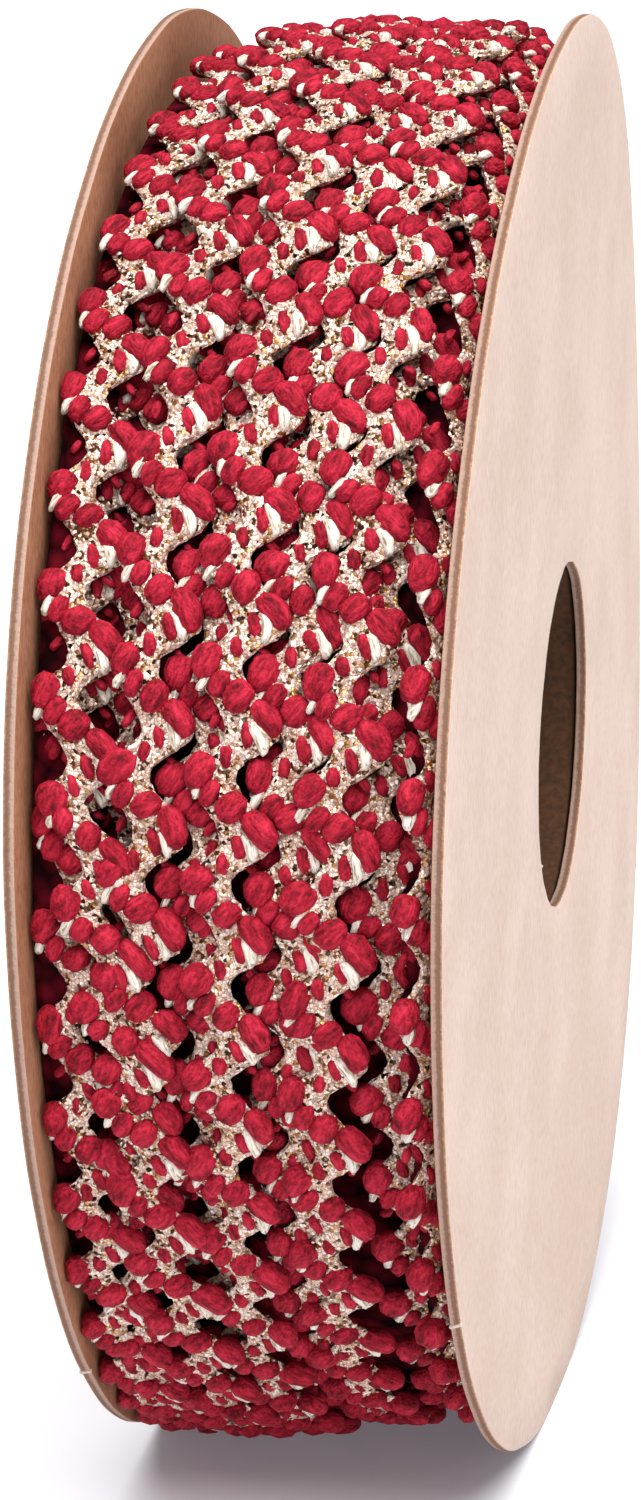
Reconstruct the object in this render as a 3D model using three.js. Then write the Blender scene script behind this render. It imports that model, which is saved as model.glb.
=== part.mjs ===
// A roll of zigzag gift braid, wound on a spool of two kraft board discs and a paper tube.
// Millimetres, +Z up. The spool's axis runs along X, and the origin is on the floor under its middle.
import * as THREE from 'three';

// Driving dimensions of the spool.
const DISC_RADIUS = 70;
const DISC_THICKNESS = 1.05;
const HOLE_RADIUS = 17;
const SPOOL_WIDTH = 38.2;
const REST_FLAT_WIDTH = 14;
const TUBE_INNER_RADIUS = 17.6;
const TUBE_WALL = 2;
const PIECE_GAP = 0.35;

// Driving dimensions of the wound braid. A bend to the left and one to the right make a zigzag.
const ZIGZAGS_PER_TURN = 46;
const FIRST_LEFT_BEND = THREE.MathUtils.degToRad(18);
const CREST_HALF_WIDTH = 1.7;
const VALLEY_DROP = 1.9;
const EDGE_DROP = 2.6;

// Smoothness of the round pieces.
const DISC_SEGMENTS = 96;
const TUBE_SEGMENTS = 48;

// The rows of braid that show on the outside, from the left disc to the right one.
// middle: the row's place at the front; lean: how far it moves to the right at the top;
// swing: reach of its zigzags each way; crest: its outer radius at the front; rise: more at the top.
const ROWS = [
  { middle: -13.1, lean: -0.4, swing: 2.2, crest: 68.0, rise: -1.3 },
  { middle: -6.8, lean: -0.2, swing: 2.2, crest: 68.9, rise: 0.2 },
  { middle: 0.1, lean: 0.4, swing: 2.2, crest: 68.9, rise: 0.3 },
  { middle: 4.9, lean: 1.1, swing: 2.2, crest: 68.2, rise: 0.3 },
  { middle: 9.4, lean: 1.7, swing: 2.2, crest: 68.9, rise: 0.3 },
  { middle: 16.0, lean: 0, swing: 0.5, crest: 68.5, rise: 0.3, halfWidth: 0.8 },
];

// Worked out from the driving dimensions.
const AXLE_HEIGHT = Math.sqrt(DISC_RADIUS ** 2 - (REST_FLAT_WIDTH / 2) ** 2);
const INNER_HALF_WIDTH = SPOOL_WIDTH / 2 - DISC_THICKNESS - PIECE_GAP;
const ROLL_INNER_RADIUS = TUBE_INNER_RADIUS + TUBE_WALL + PIECE_GAP;
const STEPS_PER_ZIGZAG = 4;
const STEPS_AROUND = ZIGZAGS_PER_TURN * STEPS_PER_ZIGZAG;

function kraftBoard() {
  return new THREE.MeshStandardMaterial({ color: 0xd8b79f, roughness: 0.9, metalness: 0 });
}

function tubePaper() {
  return new THREE.MeshStandardMaterial({ color: 0x6b4a38, roughness: 0.95, metalness: 0 });
}

function redBraid() {
  return new THREE.MeshStandardMaterial({ color: 0xb01e37, roughness: 0.85, metalness: 0 });
}

// A board disc with its hole. It is cut flat by a chord where it rests, on the side of its own +X.
function discGeometry() {
  const flatAngle = Math.asin(REST_FLAT_WIDTH / 2 / DISC_RADIUS);
  const outline = new THREE.Shape();
  outline.absarc(0, 0, DISC_RADIUS, flatAngle, 2 * Math.PI - flatAngle, false);
  outline.closePath();
  const hole = new THREE.Path();
  hole.absarc(0, 0, HOLE_RADIUS, 0, 2 * Math.PI, true);
  outline.holes.push(hole);
  return new THREE.ExtrudeGeometry(outline, {
    depth: DISC_THICKNESS,
    bevelEnabled: false,
    curveSegments: DISC_SEGMENTS,
  });
}

// The paper tube, turned about its own Y axis.
function tubeGeometry() {
  const outer = TUBE_INNER_RADIUS + TUBE_WALL;
  const profile = [
    new THREE.Vector2(TUBE_INNER_RADIUS, -INNER_HALF_WIDTH),
    new THREE.Vector2(outer, -INNER_HALF_WIDTH),
    new THREE.Vector2(outer, INNER_HALF_WIDTH),
    new THREE.Vector2(TUBE_INNER_RADIUS, INNER_HALF_WIDTH),
    new THREE.Vector2(TUBE_INNER_RADIUS, -INNER_HALF_WIDTH),
  ];
  return new THREE.LatheGeometry(profile, TUBE_SEGMENTS);
}

// The angle above the front of the roll at each step, going down over the front.
function stepAngle(step) {
  return FIRST_LEFT_BEND - (step / STEPS_AROUND) * 2 * Math.PI;
}

// The points across the roll at one step, as places along X with their radius.
// Each row has a left and a right crest line, with a valley between neighbours.
function crossSection(step) {
  const height = Math.sin(stepAngle(step));
  const bend = -Math.cos((step / STEPS_PER_ZIGZAG) * 2 * Math.PI);
  const crests = ROWS.map((row) => {
    const middle = row.middle + row.lean * height + row.swing * bend;
    const half = row.halfWidth ?? CREST_HALF_WIDTH;
    return { left: middle - half, right: middle + half, radius: row.crest + row.rise * height };
  });
  const first = crests[0];
  const last = crests[crests.length - 1];
  const points = [{ x: -INNER_HALF_WIDTH, radius: first.radius - EDGE_DROP }];
  crests.forEach((crest, index) => {
    if (index > 0) {
      const before = crests[index - 1];
      const lower = Math.min(before.radius, crest.radius);
      points.push({ x: (before.right + crest.left) / 2, radius: lower - VALLEY_DROP });
    }
    points.push({ x: crest.left, radius: crest.radius });
    points.push({ x: crest.right, radius: crest.radius });
  });
  points.push({ x: INNER_HALF_WIDTH, radius: last.radius - EDGE_DROP });
  return points;
}

// The wound braid: a thick ring whose outside carries the rows of zigzags.
function rollGeometry() {
  const positions = [];
  const index = [];
  const place = (x, radius, angle) => {
    positions.push(x, -radius * Math.cos(angle), radius * Math.sin(angle));
  };
  const across = crossSection(0).length;
  for (let step = 0; step < STEPS_AROUND; step += 1) {
    crossSection(step).forEach((point) => place(point.x, point.radius, stepAngle(step)));
  }
  const outer = (step, line) => (step % STEPS_AROUND) * across + line;

  // The inside has one step for each zigzag.
  const innerStart = positions.length / 3;
  for (let zigzag = 0; zigzag < ZIGZAGS_PER_TURN; zigzag += 1) {
    const angle = stepAngle(zigzag * STEPS_PER_ZIGZAG);
    place(-INNER_HALF_WIDTH, ROLL_INNER_RADIUS, angle);
    place(INNER_HALF_WIDTH, ROLL_INNER_RADIUS, angle);
  }
  const inner = (zigzag, side) => innerStart + (zigzag % ZIGZAGS_PER_TURN) * 2 + side;

  for (let step = 0; step < STEPS_AROUND; step += 1) {
    for (let line = 0; line < across - 1; line += 1) {
      const a = outer(step, line);
      const b = outer(step, line + 1);
      const c = outer(step + 1, line + 1);
      const d = outer(step + 1, line);
      index.push(a, d, b, b, d, c);
    }
  }
  for (let zigzag = 0; zigzag < ZIGZAGS_PER_TURN; zigzag += 1) {
    const firstStep = zigzag * STEPS_PER_ZIGZAG;
    const halfway = firstStep + STEPS_PER_ZIGZAG / 2;
    for (let step = firstStep; step < firstStep + STEPS_PER_ZIGZAG; step += 1) {
      const near = inner(step < halfway ? zigzag : zigzag + 1, 0);
      index.push(near, outer(step + 1, 0), outer(step, 0));
      const far = inner(step < halfway ? zigzag : zigzag + 1, 1);
      index.push(far, outer(step, across - 1), outer(step + 1, across - 1));
    }
    index.push(inner(zigzag, 0), inner(zigzag + 1, 0), outer(halfway, 0));
    index.push(inner(zigzag, 1), outer(halfway, across - 1), inner(zigzag + 1, 1));
    index.push(inner(zigzag, 0), inner(zigzag, 1), inner(zigzag + 1, 0));
    index.push(inner(zigzag, 1), inner(zigzag + 1, 1), inner(zigzag + 1, 0));
  }
  const geometry = new THREE.BufferGeometry();
  geometry.setAttribute('position', new THREE.Float32BufferAttribute(positions, 3));
  geometry.setIndex(index);
  geometry.computeVertexNormals();
  return geometry;
}

function namedMesh(name, geometry, material) {
  const mesh = new THREE.Mesh(geometry, material);
  mesh.name = name;
  return mesh;
}

// The discs are made lying flat and turned upright, so that their rest flat points down.
function disc(name, innerFace) {
  const mesh = namedMesh(name, discGeometry(), kraftBoard());
  mesh.rotation.y = Math.PI / 2;
  mesh.position.x = innerFace;
  return mesh;
}

const spool = new THREE.Group();
spool.position.z = AXLE_HEIGHT;
spool.add(disc('disc_left', -SPOOL_WIDTH / 2));
spool.add(disc('disc_right', SPOOL_WIDTH / 2 - DISC_THICKNESS));

const tube = namedMesh('core_tube', tubeGeometry(), tubePaper());
tube.rotation.z = Math.PI / 2;
spool.add(tube);

spool.add(namedMesh('ribbon_roll', rollGeometry(), redBraid()));

const roll = new THREE.Group();
roll.add(spool);

export default roll;
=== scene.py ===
import math

import bmesh
import bpy
import numpy as np
from mathutils import Matrix, Vector


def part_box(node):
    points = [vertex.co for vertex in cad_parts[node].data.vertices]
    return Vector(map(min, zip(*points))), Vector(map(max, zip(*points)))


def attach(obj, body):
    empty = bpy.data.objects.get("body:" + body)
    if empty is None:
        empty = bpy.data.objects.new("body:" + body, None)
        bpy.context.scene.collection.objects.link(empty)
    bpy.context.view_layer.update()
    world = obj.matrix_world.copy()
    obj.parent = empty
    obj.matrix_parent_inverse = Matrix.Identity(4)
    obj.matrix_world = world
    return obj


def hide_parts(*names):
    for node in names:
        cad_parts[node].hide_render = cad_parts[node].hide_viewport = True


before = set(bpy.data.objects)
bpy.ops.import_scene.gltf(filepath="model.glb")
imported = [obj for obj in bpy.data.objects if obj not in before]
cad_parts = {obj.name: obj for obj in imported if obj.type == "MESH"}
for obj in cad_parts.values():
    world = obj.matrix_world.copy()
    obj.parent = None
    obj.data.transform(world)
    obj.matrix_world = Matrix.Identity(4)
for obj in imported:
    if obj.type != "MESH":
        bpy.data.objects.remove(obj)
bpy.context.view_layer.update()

MM = 0.001

# Camera
# The roll is seen from a little to its right and a little above it, from 0.44 m away. The camera is
# held level, and its focal length is given in pixels of the photo.
CAMERA_AZIMUTH = math.radians(11.2)
CAMERA_ELEVATION = math.radians(13.9)
CAMERA_DISTANCE = 435.2 * MM
CAMERA_AIM = Vector((-5.36, 0.0, 66.85)) * MM
FOCAL_LENGTH_PIXELS = 4360.0
PHOTO_LONG_SIDE_PIXELS = 1500.0
SENSOR_MM = 36.0
NEAREST_SEEN = 10 * MM
FARTHEST_SEEN = 20.0


def new_object(name, data):
    """An object at the origin for a mesh, a lamp or a camera."""
    made = bpy.data.objects.new(name, data)
    bpy.context.scene.collection.objects.link(made)
    return made


def aim_axis(thing, own_axis, direction):
    """Turns a camera or a lamp so that one of its own axes points in a direction."""
    thing.rotation_mode = "QUATERNION"
    thing.rotation_quaternion = direction.to_track_quat(own_axis, "Y")


def photo_camera():
    data = bpy.data.cameras.new("photo_camera")
    data.sensor_width = SENSOR_MM
    data.lens = FOCAL_LENGTH_PIXELS / PHOTO_LONG_SIDE_PIXELS * SENSOR_MM
    data.clip_start = NEAREST_SEEN
    data.clip_end = FARTHEST_SEEN
    camera = new_object("photo_camera", data)
    back = Vector((
        math.sin(CAMERA_AZIMUTH) * math.cos(CAMERA_ELEVATION),
        -math.cos(CAMERA_AZIMUTH) * math.cos(CAMERA_ELEVATION),
        math.sin(CAMERA_ELEVATION),
    ))
    camera.location = CAMERA_AIM + back * CAMERA_DISTANCE
    aim_axis(camera, "-Z", -back)
    bpy.context.scene.camera = camera


photo_camera()

# Board discs
# Two round discs die-cut from laminated kraft board: a pale liner outside, the same kraft inside
# drawn a darker brown as painted shade, and greyer plies between them that show at the cut edge.
# Each disc is a little warped.
right_low, right_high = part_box("disc_right")
left_low, left_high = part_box("disc_left")
DISC_RADIUS = (right_high.y - right_low.y) / 2
AXLE_HEIGHT = right_high.z - DISC_RADIUS
BOARD_THICKNESS = right_high.x - right_low.x
HOLE_RADIUS = 17 * MM
CUT_EDGE_ROUND = 0.16 * MM
RIM_STEPS = 288
FACE_RINGS = 12
SAME_PLACE = 0.001 * MM

# How squarely a part of the board has to look inwards or outwards to carry a liner.
LINER_FACING = 0.8

# How far each disc leans, in millimetres at its rim, for one, two and three waves round it: first
# at the front of the disc, then a quarter of a wave further up.
BOARD_WARP = {
    "right": ((0.28, 0.24), (-0.70, 0.46), (0.20, -0.25)),
    "left": ((0.05, -0.25), (0.36, 0.09), (-0.27, -0.28)),
}

# The slight dents along a cut edge: waves round the disc, their size in millimetres and their start.
RIM_DENTS = ((9, 0.05, 0), (17, 0.04, 1), (31, 0.03, 0))

# Torn tabs of ply, where the die left a bridge: the angle above the front, the radius and the size.
TORN_TABS = {
    "right": ((-35.0, 69.95 * MM, 0.75 * MM), (-36.2, 16.9 * MM, 0.55 * MM)),
    "left": ((-47.0, 69.95 * MM, 0.85 * MM),),
}

# A tab's width in board thicknesses, then its length, height and rounding in shares of its size.
TAB_WIDTH = 1.25
TAB_LENGTH = 0.45
TAB_HEIGHT = 0.5
TAB_ROUND = 0.12
TAB_TWIST = 0.5


def linear(hex_colour):
    """An sRGB hex colour as linear red, green, blue and alpha."""
    channels = [int(hex_colour[i:i + 2], 16) / 255 for i in (0, 2, 4)]
    straight = [c / 12.92 if c <= 0.04045 else ((c + 0.055) / 1.055) ** 2.4 for c in channels]
    return (*straight, 1.0)


def new_material(name):
    material = bpy.data.materials.new(name)
    material.use_nodes = True
    return material, material.node_tree.nodes["Principled BSDF"]


def add_node(material, kind, settings=None, **links):
    """One node with its settings, and a link or a value for each input, by name or as i and number."""
    tree = material.node_tree
    node = tree.nodes.new(kind)
    for name, value in (settings or {}).items():
        setattr(node, name, value)
    for name, value in links.items():
        socket = node.inputs[int(name[1:]) if name[1:].isdigit() else name]
        if isinstance(value, bpy.types.NodeSocket):
            tree.links.new(value, socket)
        else:
            socket.default_value = value
    return node


def calculated(material, operation, *values):
    """The result of one step of arithmetic on numbers or on other nodes' values."""
    numbered = {"i%d" % place: value for place, value in enumerate(values)}
    node = add_node(material, "ShaderNodeMath", {"operation": operation}, **numbered)
    return node.outputs["Value"]


def value_mix(material, share, first, second):
    node = add_node(material, "ShaderNodeMix", {"data_type": "FLOAT"}, i0=share, i2=first, i3=second)
    return node.outputs[0]


def colour_mix(material, share, first, second, blend="MIX"):
    node = add_node(material, "ShaderNodeMix", {"data_type": "RGBA", "blend_type": blend},
                    i0=share, i6=first, i7=second)
    return node.outputs[2]


def colour_ramp(material, value, steps, interpolation="LINEAR"):
    """The colour at a value between 0 and 1, from (position, hex colour) pairs."""
    node = add_node(material, "ShaderNodeValToRGB", Fac=value)
    ramp = node.color_ramp
    ramp.interpolation = interpolation
    while len(ramp.elements) < len(steps):
        ramp.elements.new(0.5)
    for element, (position, hex_colour) in zip(ramp.elements, steps):
        element.position = position
        element.color = linear(hex_colour)
    return node.outputs["Color"]


def finish_surface(material, shader, colour, bump, roughness):
    """Gives a shader its colour, its bump and how rough it is."""
    material.node_tree.links.new(colour, shader.inputs["Base Color"])
    material.node_tree.links.new(bump.outputs["Normal"], shader.inputs["Normal"])
    shader.inputs["Roughness"].default_value = roughness


def kraft_liner(name, fibre_colours, cloud_colours):
    """Kraft liner paper, matt, with short fibres that show as faint light and dark flecks.

    The fibres are drawn about ten times as thick as real ones, so that they show."""
    material, shader = new_material(name)
    place = add_node(material, "ShaderNodeTexCoord").outputs["Object"]
    fibre_width = 0.4 * MM
    fibre_length = 0.9 * MM
    cloud_width = 14 * MM
    along = add_node(material, "ShaderNodeMapping", Vector=place,
                     Scale=(1 / fibre_width, 1 / fibre_width, 1 / fibre_length))
    fibres = add_node(material, "ShaderNodeTexNoise", Vector=along.outputs["Vector"], Scale=1.0,
                      Detail=3.0, Roughness=0.6)
    clouds = add_node(material, "ShaderNodeTexNoise", Vector=place, Scale=1 / cloud_width, Detail=2.0)
    tint = colour_ramp(material, fibres.outputs["Fac"], list(zip((0.3, 0.5, 0.72), fibre_colours)))
    shade = colour_ramp(material, clouds.outputs["Fac"], list(zip((0.35, 0.65), cloud_colours)))
    clouded = colour_mix(material, 1.0, tint, shade, "MULTIPLY")
    bump = add_node(material, "ShaderNodeBump", Height=fibres.outputs["Fac"], Strength=0.3,
                    Distance=0.05 * MM)
    finish_surface(material, shader, clouded, bump, 0.85)
    shader.inputs["IOR"].default_value = 1.45
    return material


def kraft_cut_edge():
    """The cut edge of the board: a pale inner liner, rough grey-brown plies and a rusty line of glue
    under the outer liner. Its torn fibres are drawn as coarse tufts."""
    material, shader = new_material("kraft_cut_edge")
    place = add_node(material, "ShaderNodeTexCoord").outputs["Object"]
    ply = add_node(material, "ShaderNodeAttribute", {"attribute_name": "ply_place"}).outputs["Fac"]
    tuft_size = 0.45 * MM
    tuft_share = 0.3
    tufts = add_node(material, "ShaderNodeTexNoise", Vector=place, Scale=1 / tuft_size, Detail=3.0,
                     Roughness=0.7)
    uneven = value_mix(material, tuft_share, ply, tufts.outputs["Fac"])
    tint = colour_ramp(material, uneven, [
        (0.2, "AE9181"), (0.40, "9F8070"), (0.48, "7A5B4B"), (0.68, "745343"), (0.74, "946C4E"),
        (0.80, "AA8365"), (0.85, "B49E90")])
    bump = add_node(material, "ShaderNodeBump", Height=tufts.outputs["Fac"], Strength=0.9,
                    Distance=0.18 * MM)
    finish_surface(material, shader, tint, bump, 0.95)
    shader.inputs["IOR"].default_value = 1.45
    return material


pale_liner = kraft_liner("pale_kraft_liner", ("C5AC9D", "CFBAAC", "D5C3B7"), ("F6F2F0", "FFFFFF"))
# The inner faces' liner: the same kraft, its darker brown painted shade.
inner_liner_painted_shade = kraft_liner("kraft_liner_painted_shade", ("8E5C40", "A47152", "B08060"), ("E6DCD6", "FFFFFF"))
cut_edge = kraft_cut_edge()


def board_shift(side, y, z):
    """How far a warped disc lies across from its flat place, at a height z above the axle."""
    place = (-y + 1j * z) / DISC_RADIUS
    leans = enumerate(BOARD_WARP[side], 1)
    return sum(((front - 1j * up) * place ** waves).real for waves, (front, up) in leans) * MM


def rounded_section(bm, corners, edge_round):
    """The section of a ring with its corners rounded, from their places along the axle and radii."""
    section = bm.faces.new([bm.verts.new((x, 0, radius)) for x, radius in corners])
    bmesh.ops.bevel(bm, geom=list(section.verts), affect="VERTICES", offset=edge_round, segments=2,
                    profile=0.5, material=-1)


def spin_section(bm, steps):
    """Spins the outline of a section round the axle, which makes a closed ring."""
    inner_edges = [edge for edge in bm.edges if not edge.is_boundary]
    bmesh.ops.delete(bm, geom=bm.faces[:], context="FACES_ONLY")
    bmesh.ops.delete(bm, geom=inner_edges, context="EDGES")
    bmesh.ops.spin(bm, geom=bm.verts[:] + bm.edges[:], cent=(0, 0, 0), axis=(1, 0, 0), dvec=(0, 0, 0),
                   angle=2 * math.pi, steps=steps, use_merge=True)
    bmesh.ops.remove_doubles(bm, verts=bm.verts[:], dist=SAME_PLACE)
    bmesh.ops.recalc_face_normals(bm, faces=bm.faces[:])


def finished_piece(name, bm, materials):
    """A bmesh as a smooth object at the origin that rides on the roll."""
    mesh = bpy.data.meshes.new(name)
    bm.to_mesh(mesh)
    bm.free()
    for material in materials:
        mesh.materials.append(material)
    for face in mesh.polygons:
        face.use_smooth = True
    piece = new_object(name, mesh)
    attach(piece, "root")
    return piece


def board_disc(side, low_x, high_x):
    """A ring of board: its section spun round the axle, warped, then flattened where it rests."""
    bm = bmesh.new()
    rounded_section(bm, [(low_x, HOLE_RADIUS), (high_x, HOLE_RADIUS), (high_x, DISC_RADIUS),
                         (low_x, DISC_RADIUS)], CUT_EDGE_ROUND)
    for radius in np.linspace(HOLE_RADIUS, DISC_RADIUS, FACE_RINGS)[1:-1]:
        bmesh.ops.bisect_plane(bm, geom=bm.verts[:] + bm.edges[:] + bm.faces[:],
                               plane_co=(0, 0, radius), plane_no=(0, 0, 1))
    spin_section(bm, RIM_STEPS)
    middle = (low_x + high_x) / 2
    outer_x, inner_x = (low_x, high_x) if middle < 0 else (high_x, low_x)
    # Faces that look inwards take the darker liner, whose brown is painted shade.
    for face in bm.faces:
        inward = -face.normal.x * math.copysign(1, middle)
        face.material_index = 1 if inward > LINER_FACING else 0 if inward < -LINER_FACING else 2
    for angle_deg, radius, size in TORN_TABS[side]:
        turn = Matrix.Rotation(math.radians(90 - angle_deg), 4, "X")
        shape = Matrix.Diagonal((TAB_WIDTH * BOARD_THICKNESS, TAB_LENGTH * size, TAB_HEIGHT * size, 1))
        tab = bmesh.ops.create_cube(bm, size=1.0, matrix=turn @ Matrix.Translation((middle, 0, radius))
                                    @ Matrix.Rotation(TAB_TWIST, 4, "Z") @ shape)
        edges = list({edge for vert in tab["verts"] for edge in vert.link_edges})
        bmesh.ops.bevel(bm, geom=edges, affect="EDGES", offset=TAB_ROUND * size, segments=2,
                        profile=0.5, material=-1)
    ply_place = bm.verts.layers.float.new("ply_place")
    for vert in bm.verts:
        vert[ply_place] = (vert.co.x - inner_x) / (outer_x - inner_x)
        angle = math.atan2(vert.co.z, -vert.co.y)
        radius = math.hypot(vert.co.y, vert.co.z)
        dent = sum(size * math.sin(waves * angle + start) for waves, size, start in RIM_DENTS)
        ragged = 1 + dent * MM / radius
        vert.co.x += board_shift(side, vert.co.y, vert.co.z)
        vert.co.y *= ragged
        vert.co.z = max(vert.co.z * ragged + AXLE_HEIGHT, 0.0)
    piece = finished_piece("board_disc_" + side, bm, [pale_liner, inner_liner_painted_shade, cut_edge])
    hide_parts("disc_" + side)


board_disc("left", left_low.x, left_high.x)
board_disc("right", right_low.x, right_high.x)

# Core tube
# A spiral-wound tube of brown paper board between the discs, a little wider than their holes. It is
# seen only through the hole; its paper is drawn much darker than it is, as painted shade.
tube_low, tube_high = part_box("core_tube")
TUBE_OUTER = (tube_high.z - tube_low.z) / 2
TUBE_INNER = TUBE_OUTER - 2 * MM
TUBE_END_ROUND = 0.3 * MM
TUBE_STEPS = 128
SPIRAL_PITCH = 26 * MM


def tube_paper():
    """Unbleached tube paper, dull and fibrous, with the faint slanted butt seams of its strips. Its
    brown is drawn very dark: painted shade.

    The fibres are drawn more than ten times as thick as real ones, so that they show."""
    material, shader = new_material("tube_paper")
    place = add_node(material, "ShaderNodeTexCoord").outputs["Object"]
    fibre_size = 0.6 * MM
    seam_share = 0.02
    centred = add_node(material, "ShaderNodeMapping", Vector=place, Location=(0, 0, -AXLE_HEIGHT))
    parts = add_node(material, "ShaderNodeSeparateXYZ", Vector=centred.outputs["Vector"])
    turn = calculated(material, "ARCTAN2", parts.outputs["Z"], parts.outputs["Y"])
    share = calculated(material, "DIVIDE", turn, 2 * math.pi)
    along = calculated(material, "DIVIDE", parts.outputs["X"], SPIRAL_PITCH)
    strip = calculated(material, "FRACT", calculated(material, "ADD", share, along))
    seam = calculated(material, "LESS_THAN", strip, seam_share)
    fibres = add_node(material, "ShaderNodeTexNoise", Vector=place, Scale=1 / fibre_size, Detail=4.0)
    # Painted shade: the paper's browns are drawn very dark.
    tint = colour_ramp(material, fibres.outputs["Fac"], [(0.3, "38210F"), (0.7, "543318")])
    seamed = colour_mix(material, seam, tint, linear("1B0F09"))
    bump = add_node(material, "ShaderNodeBump", Height=fibres.outputs["Fac"], Strength=0.4,
                    Distance=0.08 * MM)
    finish_surface(material, shader, seamed, bump, 0.95)
    return material


def core_tube():
    bm = bmesh.new()
    rounded_section(bm, [(tube_low.x, TUBE_INNER), (tube_high.x, TUBE_INNER), (tube_high.x, TUBE_OUTER),
                         (tube_low.x, TUBE_OUTER)], TUBE_END_ROUND)
    spin_section(bm, TUBE_STEPS)
    bmesh.ops.translate(bm, verts=bm.verts[:], vec=(0, 0, AXLE_HEIGHT))
    piece = finished_piece("paper_core_tube", bm, [tube_paper()])
    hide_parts("core_tube")


core_tube()

# Inner winding
# The many turns of braid under the outside rows. They show only in the deepest gaps, drawn in a
# red far darker than the yarn's: painted shade. They lie higher along the two boards, where that
# painted dark fills the grooves, but for the top of the roll, where they have slipped down.
roll_low, roll_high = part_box("ribbon_roll")
INNER_WINDING_RADIUS = 63.0 * MM
SHOULDER_RADIUS = 65.8 * MM
SHOULDER_WIDTH = 2.6 * MM
SHOULDER_SLIP = 3.0 * MM
SHOULDER_ROUND = 0.8 * MM
TUBE_GAP = 0.4 * MM
WINDING_STEPS = 184


def deep_yarn_painted_shade():
    """The red yarn deep in the winding as soft lumps, in painted shade: dark, darker between lumps."""
    material, shader = new_material("red_yarn_painted_shade")
    place = add_node(material, "ShaderNodeTexCoord").outputs["Object"]
    lump_size = 2.4 * MM
    lumps = add_node(material, "ShaderNodeTexVoronoi", Vector=place, Scale=1 / lump_size)
    # Painted shade: very dark reds, darkest towards the lumps' edges.
    tint = colour_ramp(material, lumps.outputs["Distance"], [(0.2, "5A0B18"), (0.75, "160205")])
    bump = add_node(material, "ShaderNodeBump", {"invert": True}, Height=lumps.outputs["Distance"],
                    Strength=1.0, Distance=0.8 * MM)
    finish_surface(material, shader, tint, bump, 1.0)
    shader.inputs["Specular IOR Level"].default_value = 0.05
    return material


def inner_winding():
    bm = bmesh.new()
    half = [
        (roll_high.x, TUBE_OUTER + TUBE_GAP),
        (roll_high.x, SHOULDER_RADIUS),
        (roll_high.x - SHOULDER_WIDTH, SHOULDER_RADIUS),
        (roll_high.x - 2 * SHOULDER_WIDTH, INNER_WINDING_RADIUS),
    ]
    other_half = [(-place, radius) for place, radius in reversed(half)]
    rounded_section(bm, half + other_half, SHOULDER_ROUND)
    spin_section(bm, WINDING_STEPS)
    for vert in bm.verts:
        radius = math.hypot(vert.co.y, vert.co.z)
        upward = max(vert.co.z / radius, 0.0)
        raised = max(radius - INNER_WINDING_RADIUS, 0.0) / (SHOULDER_RADIUS - INNER_WINDING_RADIUS)
        slipped = 1 - raised * SHOULDER_SLIP * upward ** 2 / radius
        vert.co.y *= slipped
        vert.co.z = vert.co.z * slipped + AXLE_HEIGHT
    piece = finished_piece("inner_winding", bm, [deep_yarn_painted_shade()])
    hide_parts("ribbon_roll")


inner_winding()

# Zigzag braid
# The ribbon is ric-rac: bulky red wool yarn and a flat crinkled cream-and-gold thread braided
# into an even zigzag. It is made flat, one zigzag at a time, and then wound round the roll.
ZIGZAGS_PER_TURN = 46
ZIGZAG_ANGLE = 2 * math.pi / ZIGZAGS_PER_TURN
ZIGZAG_LENGTH = 9.3 * MM

# A left bend lies 18 degrees above the front, and places along the braid count from the left bend
# that is eight zigzags above it.
TOP_BEND_DEG = 18.0 + 8 * 360 / ZIGZAGS_PER_TURN
LEFT_BEND_AT = 0.06 * ZIGZAG_LENGTH
OUTWARD_LEG = 0.61 * ZIGZAG_LENGTH

# The band of thread in the middle of the braid. Each of its edges has a middle place across the
# braid and swings so far each way. Its section is in shares of its half width and half thickness.
BAND_LEFT_EDGE = (-2.60 * MM, 1.40 * MM)
BAND_RIGHT_EDGE = (1.70 * MM, 1.75 * MM)
BAND_THICKNESS = 1.1 * MM
BAND_STEPS = 24
BAND_SECTION = [
    (-1.0, 0.0), (-0.93, 0.45), (-0.78, 0.75), (-0.58, 0.95), (-0.35, 1.05), (-0.1, 1.1), (0.15, 1.1),
    (0.4, 1.05), (0.6, 0.95), (0.79, 0.75), (0.93, 0.45), (1.0, 0.0), (0.6, -0.9), (-0.6, -0.9),
]

# How far the band's points stray: across in millimetres, along in zigzags and up in millimetres.
CRINKLE = (0.06, 0.006, 0.10)

# The bulges of red yarn in one zigzag, by their middles. across is from the braid's middle line,
# along runs down the roll, lift is above the band's middle, wide, long and high are full sizes,
# turn leans the bulge's long axis, and curl bends it sideways. All lengths are in millimetres.
YARN_BULGES = [
    # across along  lift  wide  long  high  turn  curl   taper
    (-3.05,  0.15,  0.25, 2.75, 3.40, 2.30, -24,  -0.20,  0.10),  # left bend
    (-2.05,  2.15,  0.50, 1.80, 2.60, 1.75, -26,  -0.05,  0.00),  # after the left bend
    (-0.25,  3.15,  0.45, 2.55, 2.85, 2.05, -40,   0.00,  0.00),  # middle of the outward leg
    ( 2.25,  4.90,  0.25, 2.40, 3.95, 2.20,  36,   0.22,  0.05),  # right bend
    ( 0.70,  6.50,  0.45, 1.20, 2.40, 1.20,  16,   0.05,  0.00),  # inside the right bend
    (-0.80,  8.15,  0.45, 1.20, 1.90, 1.10,   5,   0.00,  0.00),  # on the way back
]

# Where the yarn passes round the two edges of the band, low down, in the same columns.
EDGE_YARN = [
    (-2.40,  5.20, -0.70, 0.90, 1.70, 0.90, -30,   0.00,  0.00),
    ( 1.60,  8.70, -0.70, 0.80, 1.40, 0.80,  40,   0.00,  0.00),
]

# The smooth loops of flat thread that show between the bulges, left and right, in the same columns.
THREAD_LOOPS = [
    (-3.10,  1.75,  0.40, 0.85, 2.30, 1.10, -26,  -0.12,  0.00),
    ( 1.75,  6.45,  0.45, 1.20, 2.90, 1.15,  16,   0.32,  0.20),
]

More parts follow.
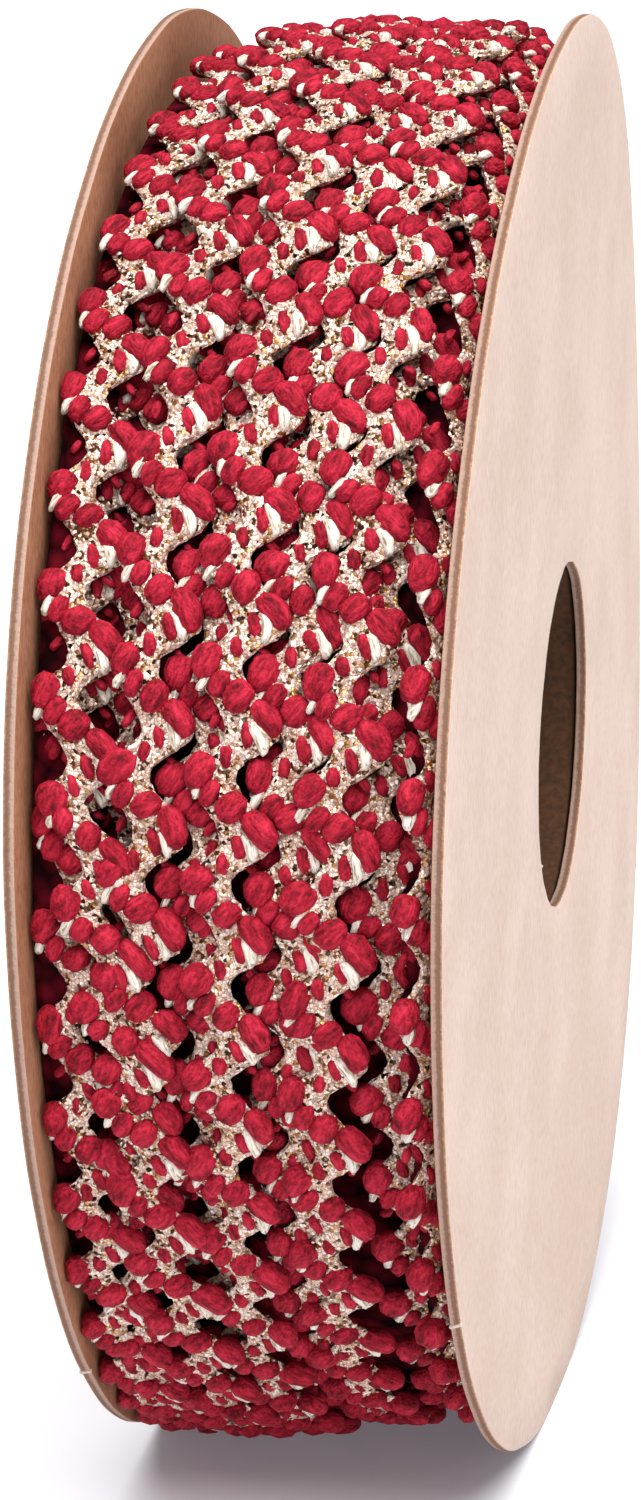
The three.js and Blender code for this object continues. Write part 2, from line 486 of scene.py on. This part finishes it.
# A bulge is a ball whose points are pulled out towards a box by a power below 1. A curl is taken
# from its middle place, so that the bulge stays where it is.
PILLOW = 0.88
CURL_MIDDLE = 0.4

# How finely the balls are made, as steps round and along them.
YARN_STEPS = (10, 6)
EDGE_YARN_STEPS = (7, 5)
LOOP_STEPS = (8, 6)

# How much one bulge differs from the next: its sizes and its lean in shares and radians, then its
# place (less so in height) and the lumps on it in millimetres.
SIZE_SPREAD = 0.07
LEAN_SPREAD = 0.10
DRIFT_MM = 0.11
DRIFT_SHARES = (1, 1, 0.5)
LUMPS_MM = 0.05

# Each turn of the braid that shows, as it is wound on from right to left: the place of its middle
# in millimetres at five stations from the top down the front, the radius of its band at four others,
# how far it banks, and how much later its bends come, in zigzags.
STATIONS_DEG = (75, 45, 15, -15, -45)
RADIUS_STATIONS_DEG = (90, 30, -30, -67)
OUTER_TURNS = [
    # places at the stations              radii                      bank  lag
    ((17.2, 17.4, 17.3, 16.9, 16.9),      (63.8, 66.2, 66.2, 63.6),  56,   0.16),  # right wall
    ((11.2, 11.0, 10.1, 8.1, 7.3),        (68.0, 67.6, 67.1, 67.0),  0,    0.15),  # right
    ((6.1, 5.9, 5.6, 5.6, 5.1),           (67.9, 67.0, 66.3, 65.9),  0,    0.10),  # right of the middle
    ((0.6, 0.7, 0.8, -0.2, -1.0),         (68.3, 67.7, 67.3, 68.5),  0,    0.00),  # middle
    ((-6.7, -6.7, -6.6, -8.2, -12.0),     (67.4, 67.3, 66.6, 69.2),  0,    0.02),  # left of the middle
    ((-12.4, -14.0, -13.5, -8.0, -6.2),   (64.9, 66.0, 67.9, 69.2),  0,    0.34),  # left wall
]

# The turns that show between those, deeper in.
UNDER_TURNS = [
    ((12.9, 12.9, 13.2, 14.4, 15.0),      (65.9, 65.2, 64.8, 64.5),  12,   0.22),  # right
    ((4.0, 4.0, 3.6, 3.0, 2.4),           (65.4, 64.8, 64.6, 65.0),  0,    0.55),  # middle
    ((-1.7, -1.7, -2.0, -2.4, -3.0),      (66.2, 66.0, 66.0, 67.0),  0,    0.10),  # left
    ((-9.3, -9.3, -9.4, -9.0, -8.0),      (63.6, 63.4, 64.0, 66.0),  0,    0.06),  # far left
    ((-13.4, -13.8, -13.7, -13.4, -13.4), (61.0, 63.8, 67.7, 69.1),  0,    0.60),  # left wall
]

# Both ends of the braid go down under their neighbours at the back of the roll. These angles are
# before the first station and after the last one, in degrees, outermost first.
TUCKED_RADIUS = 62.5 * MM
LEAD_IN_DEG = (130, 100)
LEAD_OUT_DEG = (75, 40)

# The slow waves of each layer's height: how many go round the roll, and the range of their sizes in
# millimetres and of their starts in radians.
SWAY_WAVES = (5, 9, 14)
SWAY_MM = (0.05, 0.14)
SWAY_STARTS = (0, 6)

# The soft braid is squashed against the boards and the floor over a short distance.
BOARD_GAP = 0.1 * MM
SQUASH = 0.3 * MM

# The random differences are the same in every run.
random = np.random.default_rng(11)


def zigzag(along):
    """How far the braid has swung at a place along it, from -1 at a left bend to 1 at a right one."""
    share = (np.asarray(along) - LEFT_BEND_AT) % ZIGZAG_LENGTH
    back_leg = ZIGZAG_LENGTH - OUTWARD_LEG
    phase = np.where(share < OUTWARD_LEG, share / OUTWARD_LEG, 1 + (share - OUTWARD_LEG) / back_leg)
    return -np.cos(math.pi * phase)


def leaned(points, angle):
    """Flat points turned by an angle in the plane of the braid."""
    result = points.copy()
    result[:, 0] = points[:, 0] * math.cos(angle) + points[:, 1] * math.sin(angle)
    result[:, 1] = points[:, 1] * math.cos(angle) - points[:, 0] * math.sin(angle)
    return result


def bulge_shapes(rows, ball_steps):
    """One zigzag's bulges laid flat: for each one its middle, its points and its own axes."""
    bm = bmesh.new()
    bmesh.ops.create_uvsphere(bm, u_segments=ball_steps[0], v_segments=ball_steps[1], radius=0.5)
    onto_side = Matrix.Rotation(math.pi / 2, 3, "X")
    bmesh.ops.rotate(bm, verts=bm.verts[:], cent=(0, 0, 0), matrix=onto_side)
    bm.verts.ensure_lookup_table()
    ball = np.array([vert.co for vert in bm.verts])
    ball = np.sign(ball) * np.abs(2 * ball) ** PILLOW / 2
    faces = [[vert.index for vert in face.verts] for face in bm.faces]
    bm.free()
    shapes = []
    for across, along, lift, wide, long, high, turn, curl, taper in rows:
        own = ball * (wide, long, high)
        own[:, 0] *= 1 - 2 * taper * ball[:, 1]
        own[:, 0] -= curl * (4 * ball[:, 1] ** 2 - CURL_MIDDLE)
        flat = leaned(own, math.radians(turn))
        shapes.append((np.array((across, along, lift)) * MM, flat * MM, own * MM))
    return shapes, faces


def turn_path(turns):
    """The winding's middle line: angle down, place, radius, bank and lag at every station."""
    stations = []
    for number, (places, radii, bank, lag) in enumerate(turns):
        for mark in sorted({*STATIONS_DEG, *RADIUS_STATIONS_DEG}, reverse=True):
            place = np.interp(-mark, np.negative(STATIONS_DEG), places) * MM
            radius = np.interp(-mark, np.negative(RADIUS_STATIONS_DEG), radii) * MM
            down = 360 * number + TOP_BEND_DEG - mark
            stations.append((down, place, radius, math.radians(bank), lag))
    first, last = stations[0], stations[-1]
    return np.array([
        (first[0] - LEAD_IN_DEG[0], first[1], TUCKED_RADIUS, *first[3:]),
        (first[0] - LEAD_IN_DEG[1], *first[1:]),
        *stations,
        (last[0] + LEAD_OUT_DEG[1], *last[1:]),
        (last[0] + LEAD_OUT_DEG[0], last[1], TUCKED_RADIUS, *last[3:]),
    ])


def zigzag_range(stations):
    """The first and the last zigzag of a path."""
    return (stations[[0, -1], 0] / 360 * ZIGZAGS_PER_TURN).round().astype(int)


def pressed_up(place, low):
    """Squashes the soft braid where it would go below a limit."""
    return low + SQUASH * np.logaddexp(0, (place - low) / SQUASH)


def wind(flat, stations, sways):
    """Bends flat braid round the roll. flat holds across, along in zigzags from the top, and height."""
    down = np.degrees(flat[:, 1] * ZIGZAG_ANGLE)
    place, radius, bank, lag = (np.interp(down, stations[:, 0], stations[:, k]) for k in range(1, 5))
    angle = math.radians(TOP_BEND_DEG) - (flat[:, 1] + lag) * ZIGZAG_ANGLE
    sway = sum(size * np.sin(waves * angle + start) for waves, size, start in sways)
    across = flat[:, 0] * np.cos(bank) + flat[:, 2] * np.sin(bank)
    height = flat[:, 2] * np.cos(bank) - flat[:, 0] * np.sin(bank)
    reach = radius + height + sway
    y = -reach * np.cos(angle)
    z = reach * np.sin(angle)
    low = left_high.x + BOARD_GAP + board_shift("left", y, z)
    high = right_low.x - BOARD_GAP + board_shift("right", y, z)
    x = pressed_up(-pressed_up(-(place + across), -high), low)
    return np.stack([x, y, pressed_up(AXLE_HEIGHT + z, 0.0)], 1)


def braid_piece(name, points, faces, pattern_name, pattern, material, smooth):
    """A joined mesh with the places of its pattern, riding on the roll."""
    mesh = bpy.data.meshes.new(name)
    mesh.from_pydata(points, [], faces)
    layer = mesh.attributes.new(pattern_name, "FLOAT_VECTOR", "POINT")
    layer.data.foreach_set("vector", pattern.astype(np.float32).ravel())
    mesh.materials.append(material)
    mesh.polygons.foreach_set("use_smooth", [smooth] * len(mesh.polygons))
    mesh.update()
    piece = new_object(name, mesh)
    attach(piece, "root")


def wound_bulges(name, rows, ball_steps, stations, sways, material):
    """Every bulge of every zigzag on a path, each a little different, as one joined mesh."""
    shapes, faces = bulge_shapes(rows, ball_steps)
    first, last = zigzag_range(stations)
    points, own_places, all_faces = [], [], []
    start = 0
    for number in range(first, last + 1):
        for middle, flat, own in shapes:
            size = 1 + random.normal(0, SIZE_SPREAD, 3)
            lean = random.normal(0, LEAN_SPREAD)
            drift = random.normal(0, DRIFT_MM, 3) * MM * DRIFT_SHARES
            lumps = random.normal(0, LUMPS_MM, flat.shape) * MM
            placed = leaned(flat * size + lumps, lean) + middle + drift
            placed[:, 1] = placed[:, 1] / ZIGZAG_LENGTH + number
            points.append(placed)
            own_places.append(own + random.uniform(0, 1, 3))
            all_faces.extend([[index + start for index in face] for face in faces])
            start += len(flat)
    wound = wind(np.concatenate(points), stations, sways)
    braid_piece(name, wound, all_faces, "yarn_place", np.concatenate(own_places), material, True)


def wound_band(name, stations, sways, material):
    """The band of flat thread under the bulges, crinkled into small facets."""
    side_shares, top_shares = np.transpose(BAND_SECTION)
    ring = len(BAND_SECTION)
    first, last = zigzag_range(stations)
    steps = (last - first) * BAND_STEPS + 1
    along = np.repeat(first + np.arange(steps) / BAND_STEPS, ring)
    side = np.tile(side_shares, steps)
    top = np.tile(top_shares, steps)
    crinkle = random.normal(0, 1, (steps * ring, 3)) * CRINKLE
    swung = zigzag(along * ZIGZAG_LENGTH)
    left, right = (middle + reach * swung for middle, reach in (BAND_LEFT_EDGE, BAND_RIGHT_EDGE))
    flat = np.stack([
        (left + right) / 2 + side * (right - left) / 2 + crinkle[:, 0] * MM,
        along + crinkle[:, 1],
        top * BAND_THICKNESS / 2 + crinkle[:, 2] * MM,
    ], 1)
    faces = []
    for step in range(steps - 1):
        for point in range(ring):
            here, after = step * ring + point, step * ring + (point + 1) % ring
            faces.append((here, after, after + ring, here + ring))
    faces.append(tuple(range(ring))[::-1])
    faces.append(tuple(range((steps - 1) * ring, steps * ring)))
    pattern = np.stack([flat[:, 0], flat[:, 1] * ZIGZAG_LENGTH, flat[:, 2]], 1)
    wound = wind(flat, stations, sways)
    braid_piece(name, wound, faces, "thread_place", pattern, material, False)


def pattern_place(material, pattern_name):
    """Where a point is in a braid piece's own pattern, whichever way the piece is bent."""
    node = add_node(material, "ShaderNodeAttribute", {"attribute_name": pattern_name})
    return node.outputs["Vector"]


def red_yarn():
    """Bulky red wool yarn: matt and woolly, with creases between its plies and short crossing fibres.
    Its colour darkens down in the creases: painted shade.

    The fibres are drawn several times as thick as real wool, so that they show."""
    material, shader = new_material("red_wool_yarn")
    place = pattern_place(material, "yarn_place")
    twist = math.radians(17)
    woolly_share = 0.55
    fuzz_share = 0.25
    layers = []
    for width, run, detail in (
        (0.80 * MM, 2.6 * MM, 1.0),
        (0.26 * MM, 0.80 * MM, 1.0),
        (0.20 * MM, 0.20 * MM, 0.0),
    ):
        turned = add_node(material, "ShaderNodeMapping", Vector=place, Rotation=(0, 0, twist),
                          Scale=(1 / width, 1 / run, 1 / width))
        noise = add_node(material, "ShaderNodeTexNoise", Vector=turned.outputs["Vector"], Scale=1.0,
                         Detail=detail, Roughness=0.5)
        layers.append(noise.outputs["Fac"])
    plies, fibres, fuzz = layers
    woolly = value_mix(material, fuzz_share, fibres, fuzz)
    relief = value_mix(material, woolly_share, plies, woolly)
    # Painted shade: the colour follows the relief and is darkest down in the creases.
    tint = colour_ramp(material, relief, [(0.35, "56040F"), (0.5, "931126"), (0.64, "B8243B")])
    bump = add_node(material, "ShaderNodeBump", Height=relief, Strength=1.0, Distance=0.45 * MM)
    finish_surface(material, shader, tint, bump, 0.75)
    shader.inputs["Specular IOR Level"].default_value = 0.16
    return material


def crinkled_thread():
    """Flat cream thread wrapped with metal film: each fold leans its own way, and some glint gold.
    Its colour darkens along the creases between the folds: painted shade.

    The folds are about as wide as the glints in the photo, a third of a millimetre."""
    material, shader = new_material("crinkled_gold_thread")
    place = pattern_place(material, "thread_place")
    fold_size = 0.34 * MM
    gold_share = 0.23
    metal_in_cream = 0.35
    tilt = 1.2
    folds = add_node(material, "ShaderNodeTexVoronoi", Vector=place, Scale=1 / fold_size)
    chance = add_node(material, "ShaderNodeSeparateColor", Color=folds.outputs["Color"]).outputs["Red"]
    tint = colour_ramp(material, chance, [
        (0.0, "4E3D30"), (0.05, "8C6E53"), (0.12, "C4955F"), (0.23, "D6B5A2"), (0.44, "E6CDBE"),
        (0.72, "EEDDD0")], "CONSTANT")
    # Painted shade: the colour darkens along the creases between the folds.
    creases = add_node(material, "ShaderNodeTexVoronoi", {"feature": "DISTANCE_TO_EDGE"}, Vector=place,
                       Scale=1 / fold_size)
    painted_crease_shade = colour_ramp(material, creases.outputs["Distance"], [(0.02, "AA9480"), (0.09, "FFFFFF")])
    tint_with_crease_shade = colour_mix(material, 1.0, tint, painted_crease_shade, "MULTIPLY")
    gold = calculated(material, "LESS_THAN", chance, gold_share)
    metal = calculated(material, "MAXIMUM", gold, metal_in_cream)
    lean = add_node(material, "ShaderNodeVectorMath", {"operation": "MULTIPLY_ADD"},
                    i0=folds.outputs["Color"], i1=(tilt, tilt, tilt),
                    i2=(-tilt / 2, -tilt / 2, -tilt / 2))
    facing = add_node(material, "ShaderNodeNewGeometry").outputs["Normal"]
    leaning = add_node(material, "ShaderNodeVectorMath", {"operation": "ADD"}, i0=facing,
                       i1=lean.outputs["Vector"])
    even = add_node(material, "ShaderNodeVectorMath", {"operation": "NORMALIZE"},
                    i0=leaning.outputs["Vector"])
    bump = add_node(material, "ShaderNodeBump", Height=folds.outputs["Distance"], Strength=0.8,
                    Distance=0.12 * MM, Normal=even.outputs["Vector"])
    finish_surface(material, shader, tint_with_crease_shade, bump, 0.42)
    material.node_tree.links.new(metal, shader.inputs["Metallic"])
    return material


def loop_thread():
    """The same flat thread where it lies smooth in a loop: cream, with fine grey and gold streaks.

    The streaks are drawn several times as wide as the thread's real filaments, so that they show."""
    material, shader = new_material("smooth_cream_thread")
    place = pattern_place(material, "yarn_place")
    streak_width = 0.20 * MM
    streak_run = 1.8 * MM
    drawn = add_node(material, "ShaderNodeMapping", Vector=place,
                     Scale=(1 / streak_width, 1 / streak_run, 1 / streak_width))
    streaks = add_node(material, "ShaderNodeTexNoise", Vector=drawn.outputs["Vector"], Scale=1.0,
                       Detail=2.0, Roughness=0.6)
    tint = colour_ramp(material, streaks.outputs["Fac"], [
        (0.34, "86765E"), (0.42, "C2B29C"), (0.5, "D8CFC2"), (0.66, "E2DCD2")])
    bump = add_node(material, "ShaderNodeBump", Height=streaks.outputs["Fac"], Strength=0.7,
                    Distance=0.12 * MM)
    finish_surface(material, shader, tint, bump, 0.5)
    return material


wool = red_yarn()
crinkled = crinkled_thread()
smooth_thread = loop_thread()


def wound_braid(label, turns):
    """The yarn, the thread loops and the band of one layer, wound along the same path."""
    path = turn_path(turns)
    sways = [
        (waves, random.uniform(*SWAY_MM) * MM, random.uniform(*SWAY_STARTS)) for waves in SWAY_WAVES
    ]
    wound_bulges("red_yarn_" + label, YARN_BULGES, YARN_STEPS, path, sways, wool)
    wound_bulges("edge_yarn_" + label, EDGE_YARN, EDGE_YARN_STEPS, path, sways, wool)
    wound_bulges("thread_loops_" + label, THREAD_LOOPS, LOOP_STEPS, path, sways, smooth_thread)
    wound_band("thread_band_" + label, path, sways, crinkled)


wound_braid("outer", OUTER_TURNS)
wound_braid("under", UNDER_TURNS)

# Studio
# A pale grey floor, faintly lit from below like a light table, under one large soft lamp, high up
# in front. A low lamp at the right lights the board, and a dim white room is all round.
FLOOR_HALF_SIZE = 6.0
ROOM_LIGHT = 0.26
LAMPS = [
    # name    towards it            power  spread
    ("key",  (0.10, -0.34, 0.94),  6.0,   60),
    ("side", (0.94, -0.30, 0.16),  0.58,  60),
]


def studio():
    bm = bmesh.new()
    bmesh.ops.create_grid(bm, x_segments=1, y_segments=1, size=FLOOR_HALF_SIZE)
    mesh = bpy.data.meshes.new("floor")
    bm.to_mesh(mesh)
    bm.free()
    floor = new_object("floor", mesh)
    material, shader = new_material("pale_paper_floor")
    shader.inputs["Base Color"].default_value = linear("DCDCE0")
    shader.inputs["Roughness"].default_value = 0.8
    shader.inputs["Emission Color"].default_value = linear("F4F0FF")
    shader.inputs["Emission Strength"].default_value = 0.12
    mesh.materials.append(material)

    world = bpy.data.worlds.new("dim_white_room")
    world.use_nodes = True
    background = world.node_tree.nodes["Background"]
    background.inputs["Color"].default_value = (1, 1, 1, 1)
    background.inputs["Strength"].default_value = ROOM_LIGHT
    bpy.context.scene.world = world

    for name, towards, power, spread in LAMPS:
        data = bpy.data.lights.new(name, "SUN")
        data.energy = power
        data.angle = math.radians(spread)
        aim_axis(new_object(name, data), "Z", Vector(towards))
    bpy.context.scene.view_settings.view_transform = "Standard"


studio()
